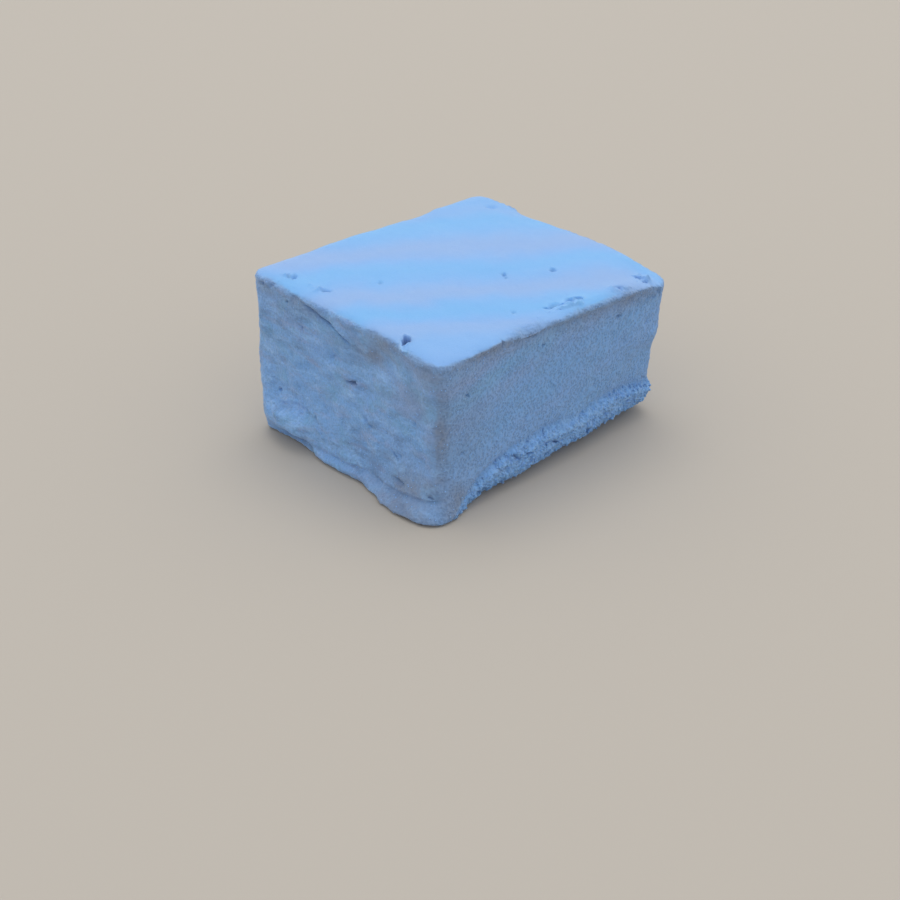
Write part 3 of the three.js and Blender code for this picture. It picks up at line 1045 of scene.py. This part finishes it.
# The streaks of the marbling: how far across the slab each lies, in millimetres, and how much lilac and teal
# it holds. The poured skin spans about -35 to 35, and those below -35 are met only deeper in the foam.
STREAKS = [
    (-70.0, 0.6, 0.2), (-63.0, 0.0, 0.8), (-56.0, 0.9, 0.0), (-50.0, 0.0, 0.4), (-45.0, 0.8, 0.0),
    (-40.0, 0.0, 1.0), (-36.0, 0.9, 0.0), (-31.0, 0.0, 0.5), (-26.0, 0.7, 0.0), (-22.0, 0.0, 0.9),
    (-17.0, 0.1, 0.5), (-12.5, 0.8, 0.0), (-9.0, 1.0, 0.0), (-5.5, 0.3, 0.0), (-2.0, 0.0, 0.9),
    (2.5, 0.1, 0.3), (6.0, 0.8, 0.0), (9.0, 1.0, 0.0), (11.5, 0.2, 0.3), (14.5, 0.0, 1.0),
    (17.5, 0.3, 0.0), (20.0, 1.0, 0.0), (24.0, 0.2, 0.3), (30.0, 0.4, 0.0),
]


def marbling_group():
    """Soft streaks of lilac and teal, which cross the top and sink steeply into the foam below.

    Lilac and Teal are the two colours' shares, from 0 to 1.
    """
    tree, given, result = new_group(
        "marbling",
        "ShaderNodeTree",
        [
            ("Vector", "NodeSocketVector", None),
            ("Depth", "NodeSocketFloat", 0.0),
            ("Wander", "NodeSocketFloat", 0.0035),
        ],
        [("Lilac", "NodeSocketFloat", None), ("Teal", "NodeSocketFloat", None)],
    )
    bend = noise_value(tree, given["Vector"], STREAK_BENDS, 3.0, 0.55)
    across = add_node(
        tree,
        "ShaderNodeVectorMath",
        {0: given["Vector"], 1: (0.866, -0.5, 0.0)},
        operation="DOT_PRODUCT",
    ).outputs["Value"]
    across = sums(tree, "MULTIPLY_ADD", given["Depth"], -1.8, across)
    wandered = sums(tree, "MULTIPLY_ADD", sums(tree, "SUBTRACT", bend, 0.5), given["Wander"], across)
    first, last = STREAKS[0][0], STREAKS[-1][0]
    limits = {"Value": wandered, "From Min": first * MM, "From Max": last * MM}
    share = add_node(tree, "ShaderNodeMapRange", limits).outputs["Result"]
    ramp = add_node(tree, "ShaderNodeValToRGB", {"Fac": share})
    stops = ramp.color_ramp.elements
    while len(stops) < len(STREAKS):
        stops.new(0.5)
    for stop, (place, lilac, teal) in zip(stops, STREAKS):
        stop.position = (place - first) / (last - first)
        stop.color = (lilac, teal, 0.0, 1.0)
    ramp.color_ramp.interpolation = "B_SPLINE"
    shares = add_node(tree, "ShaderNodeSeparateColor", {0: ramp.outputs["Color"]})
    tree.links.new(shares.outputs["Red"], result["Lilac"])
    tree.links.new(shares.outputs["Green"], result["Teal"])
    return tree


def pores_group():
    """The foam's open grain and the sugar's dust, as a height for a Bump node.

    Grain goes from 0 in a pore to 1 on the wall between pores.
    """
    tree, given, result = new_group(
        "foam_pores",
        "ShaderNodeTree",
        [
            ("Vector", "NodeSocketVector", None),
            ("Pore Size", "NodeSocketFloat", 0.0006),
            ("Openness", "NodeSocketFloat", 1.0),
            ("Dust", "NodeSocketFloat", 1.0),
        ],
        [("Height", "NodeSocketFloat", None), ("Grain", "NodeSocketFloat", None)],
    )
    scale = sums(tree, "DIVIDE", 1.0, given["Pore Size"])
    cells = add_node(tree, "ShaderNodeTexVoronoi", {"Vector": given["Vector"], "Scale": scale}, feature="F1")
    walls = soft_step(tree, cells.outputs["Distance"], 0.15, 0.75)
    uneven = noise_value(tree, given["Vector"], PORE_WALLS, 2.0, 0.6)
    grain = sums(tree, "MULTIPLY_ADD", sums(tree, "SUBTRACT", uneven, 0.5), 1.6, walls, clamp=True)
    dust = noise_value(tree, given["Vector"], SUGAR_DUST, 2.0, 0.6)
    height = sums(tree, "MULTIPLY", grain, given["Openness"])
    height = sums(tree, "MULTIPLY_ADD", dust, given["Dust"], height)
    tree.links.new(height, result["Height"])
    tree.links.new(grain, result["Grain"])
    return tree


def group_node(tree, group, inputs):
    return add_node(tree, "ShaderNodeGroup", inputs, node_tree=group)


def mask_value(tree, name):
    return add_node(tree, "ShaderNodeAttribute", None, attribute_name=name).outputs["Fac"]


def foam_material(marbling, pores):
    material = bpy.data.materials.new("marshmallow_foam")
    material.use_nodes = True
    tree = material.node_tree
    shader = tree.nodes["Principled BSDF"]
    place = add_node(tree, "ShaderNodeTexCoord").outputs["Object"]
    skin = mask_value(tree, "skin")
    bare_and_shade = mask_value(tree, "bare_and_shade")
    sugar = mask_value(tree, "sugar")
    ledge = mask_value(tree, "ledge")
    painted_shade = mask_value(tree, "painted_shade")
    clean = mask_value(tree, "clean_cut")
    streaky = mask_value(tree, "streaky")
    depth = mask_value(tree, "depth")

    # the marbling, clear on the poured skin and faint on the cut sides
    streaks = group_node(tree, marbling, {"Vector": place, "Depth": depth, "Wander": 11.0 * MM})
    visible = sums(tree, "MULTIPLY_ADD", streaky, 0.85, 0.15)
    lilac = sums(tree, "MULTIPLY", streaks.outputs["Lilac"], visible)
    teal = sums(tree, "MULTIPLY", streaks.outputs["Teal"], visible)
    poured = mixed(tree, teal, mixed(tree, lilac, BLUE, LILAC), TEAL)
    sliced = mixed(tree, teal, mixed(tree, lilac, CUT_BLUE, CUT_LILAC), CUT_TEAL)
    colour = mixed(tree, skin, sliced, poured)

    # bare foam in soft, broken blotches, and painted shade under the rims and the -Y side's top edge in the
    # same warm grey
    blotches = soft_step(tree, noise_value(tree, place, BLOTCHES, 4.0, 0.62), 0.30, 0.66)
    worn_and_shaded = sums(tree, "MULTIPLY", bare_and_shade, sums(tree, "MULTIPLY_ADD", blotches, 0.35, 0.65), clamp=True)
    worn_and_shaded = sums(tree, "MULTIPLY", worn_and_shaded, sums(tree, "SUBTRACT", 1.0, skin))
    colour = mixed(tree, worn_and_shaded, colour, WARM_GREY)

    # sugar in smeared wisps on the dusty sides, and in thick patches
    smear = {"Vector": place, "Rotation": (0.0, 0.5, 0.0), "Scale": (0.7, 1.0, 1.9)}
    tilted = add_node(tree, "ShaderNodeMapping", smear).outputs[0]
    wisps = soft_step(tree, noise_value(tree, tilted, WISPS, 5.0, 0.70), 0.46, 0.66)
    thick = sums(tree, "MULTIPLY", sugar, sums(tree, "MULTIPLY_ADD", wisps, 0.5, 0.5))
    dusty = sums(tree, "MULTIPLY_ADD", clean, -0.60, 0.75)
    thin = sums(tree, "MULTIPLY", sums(tree, "MULTIPLY", wisps, dusty), sums(tree, "SUBTRACT", 1.0, skin))
    colour = mixed(tree, sums(tree, "MULTIPLY", ledge, 0.75), colour, LEDGE_BLUE)
    dusted = sums(tree, "ADD", thick, thin, clamp=True)
    dusted = sums(tree, "MULTIPLY", dusted, sums(tree, "MULTIPLY_ADD", worn_and_shaded, -0.85, 1.0))
    colour = mixed(tree, dusted, colour, SUGAR_BLUE)

    # blotches of the marbling's two colours where the dusty sides were handled, and dull ones
    off_skin = sums(tree, "SUBTRACT", 1.0, skin)
    handled = sums(tree, "MULTIPLY", off_skin, sums(tree, "MULTIPLY_ADD", clean, -0.7, 1.0))
    handled = sums(tree, "MULTIPLY", handled, sums(tree, "MULTIPLY_ADD", worn_and_shaded, -0.8, 1.0))
    rosy = soft_step(tree, noise_value(tree, tilted, ROSY_PATCHES, 4.0, 0.6), 0.50, 0.66)
    green = soft_step(tree, noise_value(tree, place, GREEN_PATCHES, 4.0, 0.6), 0.52, 0.68)
    rosy = sums(tree, "MULTIPLY", sums(tree, "MULTIPLY", rosy, handled), 0.55)
    green = sums(tree, "MULTIPLY", sums(tree, "MULTIPLY", green, handled), 0.45)
    colour = mixed(tree, rosy, colour, CUT_LILAC)
    colour = mixed(tree, green, colour, CUT_TEAL)
    dull = soft_step(tree, noise_value(tree, tilted, DULL_PATCHES, 5.0, 0.70), 0.48, 0.70)
    dull = sums(tree, "MULTIPLY", dull, sums(tree, "MULTIPLY_ADD", clean, -0.38, 0.46))
    dull = sums(tree, "MULTIPLY", dull, sums(tree, "SUBTRACT", 1.0, skin))
    colour = mixed(tree, dull, colour, SHADE_AND_SPECK_BLUE)

    # fine specks all over the sides
    specks = noise_value(tree, place, FINE_SPECKS, 2.0, 0.7)
    speckled = sums(tree, "MULTIPLY", sums(tree, "SUBTRACT", 1.0, skin), soft_step(tree, specks, 0.35, 0.75))
    colour = mixed(tree, sums(tree, "MULTIPLY", speckled, 0.22), colour, SHADE_AND_SPECK_BLUE)

    # open grain, strongest on the cleanly cut sides, with painted shade in its pores, and painted shade in
    # the pits and grooves
    openness = sums(tree, "MULTIPLY_ADD", clean, 0.35, 0.45)
    openness = sums(tree, "MULTIPLY", openness, sums(tree, "MULTIPLY_ADD", skin, -0.88, 1.0))
    grainy = {"Vector": place, "Pore Size": 0.5 * MM, "Openness": openness, "Dust": 0.5}
    surface = group_node(tree, pores, grainy)
    pore = sums(tree, "SUBTRACT", 1.0, surface.outputs["Grain"])
    # painted shade in the pores, then in the pits and grooves
    shade = sums(tree, "MULTIPLY", sums(tree, "MULTIPLY", pore, openness), 0.44)
    shade = sums(tree, "MAXIMUM", shade, sums(tree, "MULTIPLY", painted_shade, 0.85))
    colour = mixed(tree, shade, colour, SHADE_AND_SPECK_BLUE)
    tree.links.new(colour, shader.inputs["Base Color"])

    bump = add_node(tree, "ShaderNodeBump", {"Height": surface.outputs["Height"], "Distance": 0.18 * MM})
    bump.inputs["Strength"].default_value = 0.9
    tree.links.new(bump.outputs["Normal"], shader.inputs["Normal"])
    shader.inputs["Roughness"].default_value = 0.92
    shader.inputs["Specular IOR Level"].default_value = 0.2
    shader.inputs["Subsurface Weight"].default_value = 0.12
    shader.inputs["Subsurface Radius"].default_value = (0.9, 0.9, 1.0)
    shader.inputs["Subsurface Scale"].default_value = 0.9 * MM
    shader.inputs["Sheen Weight"].default_value = 0.2
    shader.inputs["Sheen Roughness"].default_value = 0.6
    return material


def sugar_material():
    """Dry icing sugar, a little whiter than the foam it lies on."""
    material = bpy.data.materials.new("icing_sugar")
    material.use_nodes = True
    tree = material.node_tree
    shader = tree.nodes["Principled BSDF"]
    place = add_node(tree, "ShaderNodeTexCoord").outputs["Object"]
    clumps = noise_value(tree, place, SUGAR_CLUMPS, 2.0, 0.5)
    colour = mixed(tree, clumps, GRAIN_SHADE, GRAIN_LIGHT)
    tree.links.new(colour, shader.inputs["Base Color"])
    shader.inputs["Roughness"].default_value = 0.85
    shader.inputs["Specular IOR Level"].default_value = 0.3
    return material


# ---------------------------------------------------------------------------------------------------------
# The whole sweet
# ---------------------------------------------------------------------------------------------------------

add_camera()
add_lights()
add_floor()

marbling = marbling_group()
pores = pores_group()
foam = foam_material(marbling, pores)
sugar = sugar_material()

block = make_block(foam)
scatter = scatter_tree("scattered_lumps")
crumbs = scattered(
    "foam_crumbs",
    block,
    scatter,
    {
        "On Cut Sides": 0.0,
        "On Ledges": 1.6e6,
        "On Thick Sugar": 0.0,
        "Smallest": 0.12 * MM,
        "Largest": 0.34 * MM,
        "Facets": 1,
        "Unevenness": 0.9,
        "Seed": 3,
        "Material": foam,
    },
)
grains = scattered(
    "sugar_grains",
    block,
    scatter,
    {
        "On Cut Sides": 0.45e6,
        "On Ledges": 0.8e6,
        "On Thick Sugar": 1.0e6,
        "Smallest": 0.05 * MM,
        "Largest": 0.13 * MM,
        "Facets": 1,
        "Unevenness": 0.6,
        "Seed": 5,
        "Material": sugar,
    },
)

for piece in (block, crumbs, grains):
    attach(piece, "root")
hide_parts("marshmallow")

bpy.context.scene.view_settings.view_transform = "Standard"
